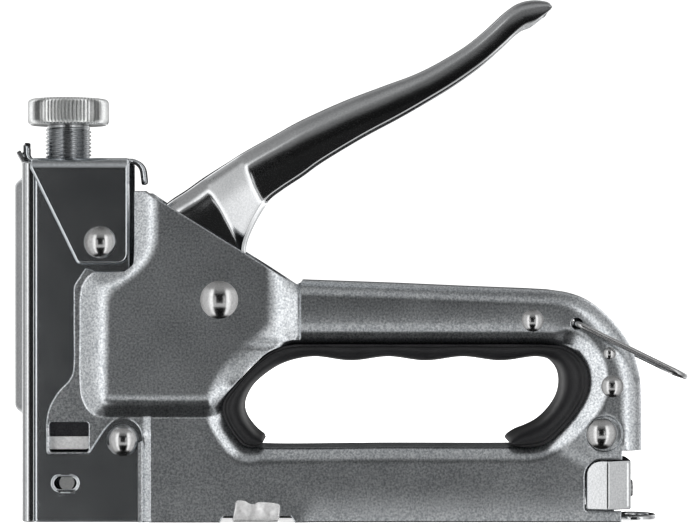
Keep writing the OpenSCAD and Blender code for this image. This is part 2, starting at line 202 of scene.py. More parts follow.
def build(name, verts, faces, normals=None, sharp=40):
    """A mesh object from points in millimetres; normals has one row for each face corner."""
    mesh = bpy.data.meshes.new(name)
    mesh.from_pydata((np.array(verts) * MM).tolist(), [], faces)
    mesh.validate()
    mesh.polygons.foreach_set("use_smooth", [True] * len(mesh.polygons))
    if normals is not None:
        mesh.normals_split_custom_set(np.array(normals).tolist())
    elif sharp:
        mesh.set_sharp_from_angle(angle=math.radians(sharp))
    mesh.update()
    obj = bpy.data.objects.new(name, mesh)
    bpy.context.scene.collection.objects.link(obj)
    return obj


def finish_piece(obj, body, mat, *nodes):
    """Gives a piece its material and body, and hides the CAD nodes that it stands for."""
    obj.data.materials.clear()
    obj.data.materials.append(mat)
    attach(obj, body)
    if nodes:
        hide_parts(*nodes)
    return obj


def mesh_data(obj):
    """The points in millimetres, the faces and the corner normals of a mesh object."""
    me = obj.data
    co, normals = np.zeros(len(me.vertices) * 3), np.zeros(len(me.loops) * 3)
    me.vertices.foreach_get("co", co)
    me.corner_normals.foreach_get("vector", normals)
    return co.reshape(-1, 3) / MM, [list(f.vertices) for f in me.polygons], normals.reshape(-1, 3)


def mirrored(obj, name):
    """A copy of a piece on the other side of the middle plane."""
    co, faces, normals = mesh_data(obj)
    order = [i for f in obj.data.polygons for i in reversed(f.loop_indices)]
    return build(name, co * [1, -1, 1], [f[::-1] for f in faces], normals[order] * [1, -1, 1])


def triangles(loops, lines, spacing):
    """Triangles over a flat outline with holes, with points along the given lines."""

    def covered(p):
        return inside(p, loops[0]) & ~np.any([inside(p, h) for h in loops[1:]], 0)

    edges, count = [], 0
    for loop in loops:
        n = len(loop)
        edges += [(count + i, count + (i + 1) % n) for i in range(n)]
        count += n
    lo, hi = loops[0].min(0), loops[0].max(0)
    lines = lines[covered(lines)]
    for loop in loops:
        lines = lines[gap(lines, loop) > 0.05]
    # one point in each square of side 0.08
    taken = {}
    for x, y in lines:
        taken.setdefault((round(x / 0.08), round(y / 0.08)), (x, y))
    kept = list(taken.values())
    full = {(round(x / spacing), round(y / spacing)) for x, y in [*kept, *np.vstack(loops)]}
    rows = np.arange(lo[1] + spacing / 2, hi[1], spacing)
    cols = np.arange(lo[0] + spacing / 2, hi[0], spacing)
    grid = np.array([(x + (k % 2) * spacing / 2, y) for k, y in enumerate(rows) for x in cols])
    free = [(round(x / spacing), round(y / spacing)) not in full for x, y in grid]
    grid = grid[free]
    grid = grid[covered(grid)]
    for loop in loops:
        grid = grid[gap(grid, loop) > spacing * 0.45]
    kept += [tuple(g) for g in grid]
    points = [tuple(q) for q in np.vstack(loops)] + kept
    verts, _, tris, *_ = delaunay_2d_cdt([tuple(map(float, q)) for q in points], edges, [], 0, 1e-6)
    verts = np.array([tuple(v) for v in verts])
    tris = np.array([f for f in tris if len(f) == 3])
    tris = tris[covered(verts[tris].mean(1))]
    a, b, c = verts[tris[:, 0]], verts[tris[:, 1]], verts[tris[:, 2]]
    area = np.cross(b - a, c - a)
    tris[area < 0] = tris[area < 0][:, ::-1]
    return verts, tris[np.abs(area) > 1e-9]


def slopes(place, uv, eps=0.02):
    """The outward normal of a surface given as a function of two numbers."""
    du, dv = np.array([eps, 0]), np.array([0, eps])
    return unit(np.cross(place(uv + du) - place(uv - du), place(uv + dv) - place(uv - dv)))


def sheet(name, place, outer, holes=(), lines=(), spacing=1.2, thickness=SHEET, edge=0.3,
          no_edge=None, wall=None):
    """Sheet metal: place maps the flat outline to the outer face. Its edges are rolled over by edge.
    no_edge says where they stay sharp, and wall which points of the outline carry on square
    to the sheet, to the middle plane."""
    loops = [np.array(outer, float)] + [np.array(h, float) for h in holes]

    def into(p):
        """How far inside the sheet's edges each point lies."""
        return np.min([depth(p, loops[0])] + [-depth(p, h) for h in loops[1:]], 0)

    rows = [np.array(lines, float).reshape(-1, 2)]
    rows += [beside(loop, [k * edge * f for k in (1, -1) for f in (0.4, 1)]) for loop in loops]
    uv, tris = triangles(loops, np.vstack(rows), spacing)
    base_up = slopes(place, uv)
    walls = wall(uv) if wall is not None else np.zeros(len(uv), bool)
    near = np.min([gap(uv, loop) for loop in loops], 0) < edge + 0.03
    q, dx, dy = uv[near], np.array([0.01, 0]), np.array([0, 0.01])
    g = unit(np.stack([into(q + dx) - into(q - dx), into(q + dy) - into(q - dy)], 1))
    inward = unit(place(q + g * 0.01) - place(q - g * 0.01))
    flat_out = base_up.copy()
    flat_out[near] = unit(inward * [-1, 0, -1])
    base_up = np.where(walls[:, None], flat_out, base_up)
    top, up = place(uv), base_up.copy()
    c = 1 - np.clip(into(q) / edge, 0, 1)
    if no_edge is not None:
        c = np.where(no_edge(q), 0, c)
    c = c[:, None]
    rise = np.sqrt(1 - c * c)
    top[near] -= base_up[near] * edge * (1 - rise)
    up[near] = unit(base_up[near] * rise - inward * c)
    low = place(uv) - base_up * thickness
    n = len(uv)
    verts = np.vstack([top, low])
    faces, corners = [], []
    for t in tris.tolist():
        faces.append(t)
        corners += [up[i] for i in t]
        faces.append([i + n for i in reversed(t)])
        corners += [-base_up[i] for i in reversed(t)]
    pairs = {(t[i], t[(i + 1) % 3]) for t in tris.tolist() for i in range(3)}
    border = [(a, b) for a, b in pairs if (b, a) not in pairs]
    added = {}

    def middle(i, source):
        if (i, source) not in added:
            added[i, source] = len(verts) + len(extra)
            extra.append(verts[i + source * n] * [1, 0, 1] - [0, 0.01, 0])
        return added[i, source]

    extra = []
    for a, b in sorted(border):
        if walls[a] and walls[b]:
            a0, b0, a1, b1 = middle(a, 0), middle(b, 0), middle(a, 1), middle(b, 1)
            faces += [[b, a, a0, b0], [b0, a0, a1, b1], [b1, a1, a + n, b + n]]
            corners += [flat_out[b], flat_out[a], flat_out[a], flat_out[b]]
            corners += [[0, 1, 0]] * 4
            corners += [-flat_out[b], -flat_out[a], -flat_out[a], -flat_out[b]]
        else:
            faces.append([b, a, a + n, b + n])
            corners += [unit(np.cross(top[b] - top[a], top[a] - low[a]))] * 4
    if extra:
        verts = np.vstack([verts, extra])
    return build(name, verts, faces, corners)


def grid_mesh(name, rows, cap=False, sharp=40, flip=False):
    """A mesh over closed rows of points; cap closes the first and last row."""
    rows = np.array(rows, float)
    n, m = rows.shape[:2]
    faces = []
    for i in range(n - 1):
        for j in range(m):
            k = (j + 1) % m
            faces.append([i * m + j, i * m + k, (i + 1) * m + k, (i + 1) * m + j])
    if cap:
        faces += [list(range(m))[::-1], [(n - 1) * m + j for j in range(m)]]
    if flip:
        faces = [f[::-1] for f in faces]
    return build(name, rows.reshape(-1, 3), faces, sharp=sharp)


def tube(name, path, r, sides=16, sharp=40):
    """A round wire along a line of points."""
    p = np.array(path, float)
    ahead = unit(np.gradient(p, axis=0))
    side = unit(np.cross(ahead[0], [0.3, 0.5, 0.81]))
    rows = []
    for q, t in zip(p, ahead):
        side = unit(side - t * (side @ t))
        other = np.cross(t, side)
        a = np.linspace(0, 2 * math.pi, sides, endpoint=False)[:, None]
        rows.append(q + r * (np.cos(a) * side + np.sin(a) * other))
    return grid_mesh(name, rows, cap=True, sharp=sharp)


def join(objs, name):
    """Several mesh objects as one."""
    verts, faces, normals = np.zeros((0, 3)), [], np.zeros((0, 3))
    for o in objs:
        co, more, turned = mesh_data(o)
        faces += [[len(verts) + i for i in f] for f in more]
        verts, normals = np.vstack([verts, co]), np.vstack([normals, turned])
        bpy.data.objects.remove(o)
    return build(name, verts, faces, normals)


# ---- materials ----


def node(nt, kind, values, out=0, **settings):
    """A new node's output, or None. values are numbers or other nodes' outputs for its inputs."""
    n = nt.nodes.new("ShaderNode" + kind)
    for key, v in settings.items():
        setattr(n, key, v)
    for key, v in values.items():
        if isinstance(v, bpy.types.NodeSocket):
            nt.links.new(v, n.inputs[key])
        else:
            n.inputs[key].default_value = v
    return None if out is None else n.outputs[out]


def noise(nt, coords, size, detail=2.0, rough=0.5):
    """A noise texture with features of about size millimetres."""
    values = {"Vector": coords, "Scale": 1 / (size * MM), "Detail": detail, "Roughness": rough}
    return node(nt, "TexNoise", values, "Fac")


def spread(nt, value, low, high, start=0.3, end=0.7, **settings):
    """A value from start to end as a number from low to high."""
    values = {"Value": value, "From Min": start, "From Max": end, "To Min": low, "To Max": high}
    return node(nt, "MapRange", values, "Result", **settings)


def surface(name, dark, light, rough, grain=0.5, height=0.01, patch=6.0,
            metallic=1.0, scratches=0.0, speck=0.7):
    """A plated or moulded surface: two tones in patches, a fine grain in its bump, and uneven gloss.
    grain and patch are sizes in millimetres, height and scratches are depths in millimetres,
    and speck is the share of the fine grain in the tones."""
    m = bpy.data.materials.new(name)
    m.use_nodes = True
    nt = m.node_tree
    b = nt.nodes["Principled BSDF"].inputs
    b["Metallic"].default_value = metallic
    tc = node(nt, "TexCoord", {}, "Object")
    fine, wide = noise(nt, tc, grain, 3.0, 0.6), noise(nt, tc, patch, 4.0)
    mixed = node(nt, "Mix", {"Factor": speck, "A": wide, "B": fine}, "Result")
    tones = {"Factor": spread(nt, mixed, 0.0, 1.0, 0.36, 0.64), "A": (*dark, 1), "B": (*light, 1)}
    nt.links.new(node(nt, "Mix", tones, "Result", data_type="RGBA"), b["Base Color"])
    nt.links.new(spread(nt, noise(nt, tc, patch, 3.0), rough * 0.99, rough * 1.05), b["Roughness"])
    bump = {"Strength": 1.0, "Distance": height * MM, "Height": fine}
    normal = node(nt, "Bump", bump, "Normal")
    if scratches:
        drawn = node(nt, "Mapping", {"Vector": tc, "Rotation": (0.4, 0.9, 0.3), "Scale": (1, 14, 1.6)},
                     "Vector")
        line = spread(nt, noise(nt, drawn, 3.0, 5.0, 0.7), 0.0, 1.0, 0.66, 0.72)
        bump = {"Strength": 1.0, "Distance": scratches * MM, "Height": line, "Normal": normal}
        normal = node(nt, "Bump", bump, "Normal")
    nt.links.new(normal, b["Normal"])
    return m


satin = surface("satin_nickel", (0.46, 0.485, 0.51), (0.93, 0.955, 0.97), 0.28,
                0.52, 0.020, 9, speck=0.9)
rivet_nickel = surface("rivet_nickel", (0.56, 0.56, 0.56), (0.66, 0.66, 0.66), 0.17,
                       0.5, 0.004, 3)
bright = surface("bright_nickel", (0.60, 0.61, 0.62), (0.72, 0.73, 0.74), 0.13,
                 0.5, 0.006, 7, scratches=0.002)
mirror = surface("dark_mirror", (0.68, 0.71, 0.74), (0.84, 0.87, 0.89), 0.19,
                 0.6, 0.008, 8, scratches=0.006)
zinc = surface("zinc_turned", (0.74, 0.75, 0.75), (0.90, 0.91, 0.90), 0.28, 0.5, 0.01, 4)
# painted shade: a darker copy of the turned zinc for the screw thread, which sits in the shade between the
# knob's head and the bracket
shaded_thread_zinc = surface("zinc_thread_painted_shade", (0.42, 0.43, 0.44), (0.56, 0.57, 0.58), 0.18,
                      0.5, 0.002, 4)
matt = surface("zinc_matt", (0.66, 0.66, 0.66), (0.86, 0.86, 0.86), 0.40,
               0.8, 0.03, 3, 0.8)
spring = surface("spring_steel", (0.52, 0.52, 0.53), (0.68, 0.68, 0.68), 0.22, 0.3, 0.006, 3)
hard = surface("hardened_steel", (0.08, 0.08, 0.09), (0.15, 0.15, 0.16), 0.30, 0.5, 0.012, 5)
black = surface("black_plastic", (0.008, 0.008, 0.009), (0.018, 0.018, 0.019), 0.40,
                0.35, 0.012, 8, 0.0)
black.node_tree.nodes["Principled BSDF"].inputs["IOR"].default_value = 1.45

# ---- shells ----

OPENING = spline(
    [(-24.5, 19.3), (-27.6, 19.9), (-29.9, 22.6), (-31.9, 25.8), (-32.9, 28.8), (-32.5, 31.4),
     (-29.9, 35.0), (-25.6, 39.9), (-20.5, 44.0), (-15.8, 45.4), (-9, 45.6), (10, 45.6), (30, 45.6),
     (44, 45.6), (50.2, 45.5), (54.4, 45.0), (57.6, 43.2), (59.9, 40.1), (60.7, 36.6), (60.2, 33.2),
     (57.4, 28.1), (53.1, 23.1), (49.8, 20.4), (46.4, 19.4), (42, 19.3), (10, 19.3)], 0.9, True)
# Foot and crest of the slope round the raised main housing
FOOT = np.vstack([
    spline([(-69.3, 50), (-69.3, 36), (-68.9, 32.3), (-67.6, 29.3), (-65.9, 27.7), (-63.2, 27.0)], 0.7),
    [(-40, 27.0), (-35.8, 27.0), (-34.2, 27.7), (-32.6, 29.4), (-31.2, 31.2), (-28.9, 34.2),
     (-24.6, 39.1), (-19.8, 43.1), (-14.6, 45.8), (-13.3, 49.0), (-13.3, 90), (-56.8, 110)],
    spline([(-56.8, 76), (-57.2, 70), (-59, 66.4), (-62.5, 64.9), (-66.3, 63.7), (-68.6, 61),
            (-69.3, 57)], 0.7)])
CREST = np.vstack([
    spline([(-63.9, 50), (-63.9, 34.2), (-63.2, 31.9), (-61.3, 31.2), (-58, 31.1)], 0.7),
    [(-45, 31.1), (-38.6, 31.1)],
    spline([(-36.3, 31.4), (-34.9, 33.4), (-32.6, 37.4), (-29.3, 41.6), (-25.6, 45.0), (-22.2, 47.6),
            (-20.4, 50.2), (-20.0, 54), (-19.8, 60)], 0.7),
    [(-19.6, 90), (-51.2, 110), (-51.2, 80)],
    spline([(-51.2, 76), (-51.4, 71.8), (-52.7, 68.6), (-55.3, 65.6), (-59.6, 62.2), (-62.8, 59.4),
            (-63.8, 56.6)], 0.7)])
# The top and rear edge of the handle, then the corner over the rear clip
RIM = np.vstack([
    [(-12.5, 62.2)], dense([(-12.5, 62.2), (12.7, 61.3), (28.3, 60.6), (46, 59.9)], 1.2, False)[1:],
    spline([(51.3, 59.6), (55.7, 58.9), (59.9, 57.4), (64.2, 54.5), (68.3, 50.3), (71.4, 45.9),
            (73.3, 41.3), (74.4, 36.3), (74.7, 31)], 0.9), [(74.7, 26), (74.7, 22), (74.7, 18.4)]])
# The flange that reaches forward under the nose frame
FLANGE = np.vstack([
    [(-52.9, 84.9), (-55.7, 84.9), (-55.7, 80), (-55.7, 74)],
    rounded([(-55.7, 70), (-55.7, 66.2), (-58, 64.5), (-65.4, 64.4), (-68, 65.3), (-71.1, 60.6),
             (-71.1, 50)], [0, 1.6, 0.8, 1, 0.8, 3, 0])[:-1],
    spline([(-71.1, 50), (-71.1, 40.6), (-71.4, 38.1), (-72.6, 36.0), (-74.7, 33.9), (-76.6, 31.0),
            (-77.7, 28.3), (-78.1, 25.4), (-78.1, 22)], 0.8),
    rounded([(-78.1, 20), (-78.1, 17.4), (-67.2, 17.4), (-64.3, 21.9), (-64, 22.4)],
            [0, 1, 1.4, 0, 0])[:-1],
    spline([(-64.0, 22.4), (-62.4, 24.5), (-60.6, 26.0), (-58.2, 26.6), (-55.9, 25.8), (-54.2, 24.0),
            (-53.5, 21.6), (-53.4, 19)], 0.6)])
TOP_EDGE = [(-13.9, 60.9), (-20, 64.65), (-30, 70.85), (-40, 77.05), (-50, 83.2)]
RECESS = rounded([(69.3, 2.8), (59.9, 2.8), (59.9, 16.1), (69.3, 16.1)], [0, 1, 4.2, 0])
BOTTOM = [(-53.4, 0), (-33.5, 0), (-32.7, 1.5), (-15.3, 1.5), (-14.5, 0), (69.3, 0)]
OUTLINE = dense(np.vstack([BOTTOM, RECESS, [(69.3, 18.4)], RIM[::-1], TOP_EDGE, FLANGE]), 0.9)
WINDOW = rounded([(-77.2, 18.0), (-67.3, 18.0), (-67.3, 25.6), (-77.2, 25.6)], [0.6] * 4)
BAIL_HOLE = circle((57.7, 51), 1.4, 24)
# The dished ring round the lower rear rivet
DISH = (64.75, 22.8)
DISH_R = 4.35
CHANNEL_X = -53.4
HOUSING_X = -13.2
HANDLE_ROUND = 4.6


def shell_y(p):
    """How far the outside of a shell stands from the middle plane."""
    x, z = p[:, 0], p[:, 1]
    # the handle tube stands out further than the channel, is a little rounded, and is creased
    # where it meets the housing
    share = np.where(x < 44, (z - 29) / 8, (z - 14 + 0.55 * (x - 58)) / 14)
    rounding = 0.010 * (z - 55.5) ** 2 * step((z - 44) / 2) * (1 - step((x - 48) / 14))
    crease = 1.4 * step((z - 46.5) / 2) * (1 - step((x - HOUSING_X) / 0.35))
    tube = (HANDLE_Y - CHANNEL_Y) * step(share) - rounding - crease
    level = CHANNEL_Y + tube * step((x + 36) / 10)
    level = level - 0.006 * np.maximum(9 - z, 0) ** 2 * step((x + 14) / 6)
    # the channel's chamfered front edge, and the flange ahead of it
    front = np.clip(1 - (x + 53.35) / 2.1, 0, 1)
    level = level - np.where(x < -40, front * (0.3 + 0.8 * step((23.5 - z) / 2.5)), 0)
    level = np.where(x < CHANNEL_X, FLANGE_Y, level)
    hole = -depth(p, OPENING)
    wide = 3.3 + 1.6 * step((x - 50) / 8) * step((z - 20) / 8) + 0.9 * step((-22 - x) / 5)
    # under the tube the rim falls away in a soft curve, elsewhere in a slope
    under = step((z - 41) / 3) * step((x + 20) / 6) * (1 - step((x - 50) / 5))
    curved = 0.06 * soft(5.2 - hole, 0.6) + 0.34 * soft(3.0 - hole, 0.5)
    slant = 0.44 * soft(wide - hole, 0.9) * (1 - under) + curved * under
    # beside the raised housing its own slope takes the place of the rim
    slant = slant * (1 - step((z - 24) / 9) * (1 - step((x + 19) / 5)))
    lip = 0.7 + 0.7 * under - 0.45 * step((z - 21) / 3) * (1 - under)
    low = level - slant - lip * fall(hole, 0.7 + 1.2 * under)
    a, b = depth(p, FOOT), depth(p, CREST)
    bend = 1.4 + 1.2 * step((z - 29) / 7)
    rise = (soft(a, 0.35) - soft(b, bend)) / np.maximum(a - b, 0.3)
    y = low + (MAIN_Y - low) * np.clip(rise, 0, 1)
    y = y - HANDLE_ROUND * fall(gap(p, RIM, False), HANDLE_ROUND + 1.6 * step((x - 52) / 14))
    r = np.hypot(x - DISH[0], z - DISH[1])
    return y - 1.0 * (1 - step((r - DISH_R) / 0.4))


def near_side(p):
    return np.stack([p[:, 0], -shell_y(p), p[:, 1]], 1)


def uprights(places, low, high, gap_between):
    """Points on lines from low to high, one at each place."""
    return [dense([(s, low), (s, high)], gap_between, False) for s in places]


def both_ways(offsets):
    return [k * d for d in offsets for k in (1, -1)]


quarter = [1 - math.cos(math.radians(t)) for t in (15, 30, 45, 60, 75, 90)]
shell_lines = np.vstack([
    beside(OPENING, both_ways((0.06, 0.15, 0.3, 0.5, 0.7, 1.0, 1.4, 1.9, 2.3, 2.7, 3.2, 3.6, 4.1, 4.6,
                               5.1, 5.8))),
    beside(RIM, both_ways([w * q for w in (HANDLE_ROUND, 6.2) for q in quarter]), False),
    beside(FOOT, [-0.6, -0.35, -0.15, 0, 0.15, 0.35, 0.6, 1.3, -1.3]),
    beside(CREST, [-2.6, -2.1, -1.6, -1, -0.5, 0, 0.5, 1, 1.6, 2.1, 2.6]),
    *uprights((-13.5, -13.1), 47, 62, 0.6), *uprights((-13.3, -12.8, -12.5), 44, 62, 0.6),
    *uprights((-52.9, -52.4, -51.9, -51.5, -51.3, -51.2, -51.0, -50.5), 0, 27, 0.7),
    *[circle(DISH, DISH_R + d, 60) for d in (0, 0.2, 0.4)]])


def on_rim(p, near=0.02):
    return (gap(p, RIM, False) < near) | (gap(p, OPENING) < near)


def rim_zone(p):
    return on_rim(p, 0.6)


left = sheet("left_shell_skin", near_side, OUTLINE, [OPENING, WINDOW, BAIL_HOLE], shell_lines,
             1.3, SHEET, 0.4, rim_zone, on_rim)
right = mirrored(left, "right_shell_skin")
finish_piece(left, "casing", satin, "left_shell")
finish_piece(right, "casing", satin, "right_shell")

# ---- grip insert ----

INSERT_OUT = spline(
    [(-22.6, 20.0), (-25.6, 19.5), (-27.6, 20.2), (-29.9, 22.8), (-31.8, 25.9), (-32.7, 28.8),
     (-32.3, 31.3), (-29.7, 34.9), (-25.4, 39.7), (-20.3, 43.8), (-15.6, 45.3), (-9, 45.5), (10, 45.5),
     (30, 45.5), (44, 45.5), (50.1, 45.4), (54.3, 44.9), (57.5, 43.1), (59.8, 40.0), (60.5, 36.6),
     (60.1, 33.3), (57.3, 28.2), (53.0, 23.2), (49.7, 20.5), (46.0, 19.6), (41.2, 19.7)], 0.7)
INSERT_IN = spline(
    [(-22.2, 21.6), (-24.0, 22.9), (-25.6, 24.6), (-27.0, 26.6), (-27.7, 28.9), (-27.4, 31.2),
     (-25.4, 34.8), (-21.6, 38.3), (-17.0, 40.9), (-9.7, 42.4), (0, 41.3), (9.6, 42.4), (19.3, 41.3),
     (28.9, 42.4), (38.6, 41.3), (48.2, 42.4), (51.6, 41.4), (53.7, 38.9), (54.3, 35.7), (53.7, 32.4),
     (51.7, 29.0), (48.4, 25.8), (44.6, 23.9), (41.3, 22.9), (39.9, 22.2), (39.9, 21.2)], 0.7)
INSERT_CUTS = 260


def even(line, n):
    """A line at n even steps of its length."""
    s = np.concatenate([[0], np.cumsum(np.linalg.norm(np.diff(line, axis=0), axis=1))])
    t = np.linspace(0, s[-1], n)
    return np.stack([np.interp(t, s, line[:, k]) for k in range(line.shape[1])], 1)


def matched(a, b, n):
    """Two lines cut into n places so that each pair lies across the strip between them."""
    fine = 6 * n
    a, b = even(a, n), even(b, fine)
    out, last = [], 0
    for k, q in enumerate(a):
        want = k * (fine - 1) / (n - 1)
        lo, hi = int(max(last, want - n)), int(min(fine - 1, want + n))
        d = np.linalg.norm(b[lo:hi + 1] - q, axis=1) + 0.004 * np.abs(np.arange(lo, hi + 1) - want)
        last = lo + int(d.argmin())
        out.append(b[last])
    out = np.array(out)
    out[0], out[-1] = b[0], b[-1]
    for _ in range(6):
        out[1:-1] = (out[:-2] + 2 * out[1:-1] + out[2:]) / 4
    return a, out


outer_line, inner_line = matched(INSERT_OUT, INSERT_IN, INSERT_CUTS)
# across the strip from the shell's edge to the inside: share of the width, half width
LIP = [(-0.04, 9.0), (-0.04, 11.2), (-0.01, 11.55), (0.06, 11.75), (0.10, 11.7), (0.125, 11.45),
       (0.15, 11.45), (0.18, 11.62), (0.26, 11.7), (0.40, 11.62), (0.54, 11.3), (0.67, 10.7),
       (0.79, 9.8), (0.89, 8.6), (0.96, 7.2), (1.0, 5.2), (1.0, 2.6), (1.0, 0)]
lip_share = np.array([q for q, _ in LIP + LIP[-2::-1]])[:, None]
lip_half = np.array([-h for _, h in LIP] + [h for _, h in LIP[-2::-1]])
insert_rows = []
for i, (out, inner) in enumerate(zip(outer_line, inner_line)):
    # the strip's ends are rounded off
    k = 1 - 0.96 * fall(float(min(i, INSERT_CUTS - 1 - i)), 3.5)
    mid = (out + inner) / 2
    xz = mid + (out + (inner - out) * lip_share - mid) * k
    insert_rows.append(np.stack([xz[:, 0], lip_half * (0.9 + 0.1 * k), xz[:, 1]], 1))
insert = grid_mesh("grip_insert_moulding", insert_rows, cap=True, sharp=60)
finish_piece(insert, "casing", black, "grip_insert")

# ---- folded nose parts ----


def fold(half_width, face, radius):
    """A U seen along its length, as a function of the distance round it from its middle. That gives
    the place behind face and the place across. The second result is where its bend ends."""
    flat = half_width - radius
    bend_end = flat + radius * math.pi / 2

    def place(s):
        d = np.abs(s)
        a = np.clip((d - flat) / radius, 0, math.pi / 2)
        across = np.where(d < flat, d, flat + radius * np.sin(a))
        back = np.where(d < flat, 0, radius * (1 - np.cos(a))) + np.maximum(d - bend_end, 0)
        return face + back, across * np.sign(s)

    return place, bend_end


NOSE_X = -81.3
NOSE_R = 0.8
NOSE_HEIGHT = 92
nose_fold, NOSE_SPAN = fold(NOSE_Y, NOSE_X, NOSE_R)
# the oval slot: its middle, and how far its two centres are from it
SLOT = (-73.3, 10.0)
SLOT_LONG = 1.3


def nose_place(p):
    """p is (distance round the U, z)."""
    x, across = nose_fold(p[:, 0])
    d = np.hypot(np.maximum(np.abs(x - SLOT[0]) - SLOT_LONG, 0), p[:, 1] - SLOT[1])
    raised = 0.4 * step((2.45 - d) / 0.7) * (np.abs(p[:, 0]) > 12)
    y = across + np.sign(across) * raised
    # a positive s is the -Y leg, so that the outside faces out
    return np.stack([x, -y, p[:, 1]], 1)


def leg(points, side):
    """Points (x, z) of a nose leg, as (distance round the U, z)."""
    p = np.array(points, float)
    return np.stack([side * (p[:, 0] - NOSE_X - NOSE_R + NOSE_SPAN), p[:, 1]], 1)


def slot_loop(r):
    """A ring at the distance r round the line between the slot's two centres."""
    right, left = [circle((SLOT[0] + k * SLOT_LONG, SLOT[1]), r, 32) for k in (1, -1)]
    return np.vstack([right[:9], left[8:25], right[24:]])


BACK_LINE = [(-53.2, 0), (-53.2, 60), (-56.9, 64), (-56.9, 92.2)]
# the gap in the front face that the cover closes
MOUTH = [(-6.4, 0), (-6.4, 16), (-4.4, 17.2), (-4.4, 88), (4.4, 88), (4.4, 17.2), (6.4, 16), (6.4, 0)]
nose_loop = dense(np.vstack([leg(BACK_LINE, 1), leg(BACK_LINE, -1)[::-1], MOUTH]), 1.5)
nose_holes, nose_rings = [], []
for side in (1, -1):
    nose_holes += [leg(WINDOW, side), leg(slot_loop(1.5), side)]
    nose_rings += [leg(slot_loop(r), side) for r in (1.75, 1.95, 2.1, 2.25, 2.45, 2.7)]


def bend_places(start, end, n=8):
    """Places for n lines round each of the two bends of a fold."""
    return [s for k in (1, -1) for s in k * np.linspace(start, end, n)]


nose_lines = uprights(bend_places(NOSE_Y - NOSE_R, NOSE_SPAN), 0, NOSE_HEIGHT, 1.5) + nose_rings
nose = sheet("nose_frame_fold", nose_place, nose_loop, nose_holes, np.vstack(nose_lines), 3, 1.2, 0.35)
finish_piece(nose, "casing", mirror, "nose_frame")

BRACKET_R = 3.2
BRACKET_TOP = 93.5
# the tongue's curl behind and the lip's in front: where each starts, its radius, and its turn
CURL_X, CURL_R, CURL_TURN = -57.1, 3.9, 1.45
LIP_X, LIP_R = -82.2, 1.3
bracket_fold, BRACKET_SPAN = fold(BRACKET_Y, 0, BRACKET_R)


def bracket_place(p):
    """p is (x, distance round the fold from the middle of the top)."""
    x, s = p[:, 0], p[:, 1]
    down, across = bracket_fold(s)
    z = BRACKET_TOP - down
    # the tongue curls down behind, the lip stands up in front
    curl = np.clip((x - CURL_X) / CURL_R, 0, CURL_TURN)
    past = np.maximum(x - CURL_X - CURL_R * CURL_TURN, 0)
    behind, ahead = x > CURL_X, x < LIP_X
    xb = np.where(behind, CURL_X + CURL_R * np.sin(curl) + past * math.cos(CURL_TURN), x)
    zb = np.where(behind, z - CURL_R * (1 - np.cos(curl)) - past * math.sin(CURL_TURN), z)
    lift = np.clip((LIP_X - x) / LIP_R, 0, math.pi / 2)
    up = np.maximum(LIP_X - x - LIP_R * math.pi / 2, 0)
    xb = np.where(ahead, LIP_X - LIP_R * np.sin(lift), xb)
    zb = np.where(ahead, z + LIP_R * (1 - np.cos(lift)) + up, zb)
    return np.stack([xb, across, zb], 1)


def bracket_leg(points, side):
    """Points (x, z) of a bracket leg, as (x, distance round)."""
    p = np.array(points, float)
    return np.stack([p[:, 0], side * (BRACKET_TOP - BRACKET_R - p[:, 1] + BRACKET_SPAN)], 1)


leg_front = spline([(-82.3, 90.9), (-79.2, 84.6), (-76.2, 78.5), (-73.2, 72.4), (-71.3, 68.5)], 1.2)
leg_foot = rounded([(-71.3, 68.5), (-70.2, 66.1), (-57.1, 66.1), (-57.1, 70)], [0, 1.8, 2.8, 0])
leg_line = np.vstack([leg_front[:-1], leg_foot])
tongue = [(-57.1, 3.9), (-49.0, 3.6), (-48.3, 2.9), (-48.3, -2.9), (-49.0, -3.6), (-57.1, -3.9)]
lip = [(-82.3, -2.9), (-86.4, -2.9), (-86.4, 2.9), (-82.3, 2.9)]
bracket_loop = np.vstack([bracket_leg(leg_line, 1), tongue, bracket_leg(leg_line, -1)[::-1], lip])
bracket_lines = [dense([(-82, q), (-57.4, q)], 1.5, False)
                 for q in bend_places(BRACKET_Y - BRACKET_R, BRACKET_SPAN)]
bracket_lines += uprights(np.arange(-56.8, -48.6, 0.7), -3.4, 3.4, 0.9)
bracket_lines += uprights(np.arange(-86, -82.1, 0.35), -2.7, 2.7, 0.9)
bracket = sheet("top_bracket_fold", bracket_place, dense(bracket_loop, 1.2),
                [circle((AXIS_X, 0), 6.1, 60)], np.vstack(bracket_lines), 2, 1.3, 0.75)
finish_piece(bracket, "casing", mirror, "top_bracket")

COVER_R = 2.2
cover_fold, COVER_SPAN = fold(NOSE_Y, -84.7, COVER_R)
RIB = rounded([(-3.5, 26.8), (3.5, 26.8), (3.5, 89.2), (-3.5, 89.2)], [3.3] * 4)
RIB_OUT, RIB_WIDE = 2.6, 1.9


def cover_place(p):
    """p is (distance round the fold, z)."""
    x, across = cover_fold(p[:, 0])
    d = depth(p, RIB)
    rib = RIB_OUT * (soft(d, 0.5) - soft(d - RIB_WIDE, 0.9)) / RIB_WIDE
    # two small ears lean forward beside the tab
    ear = np.minimum(np.where(np.abs(p[:, 0]) > 2.5, np.maximum(p[:, 1] - 91.9, 0), 0), 3.6)
    return np.stack([x - rib - ear * 0.5, -across, p[:, 1] - ear * 0.13], 1)


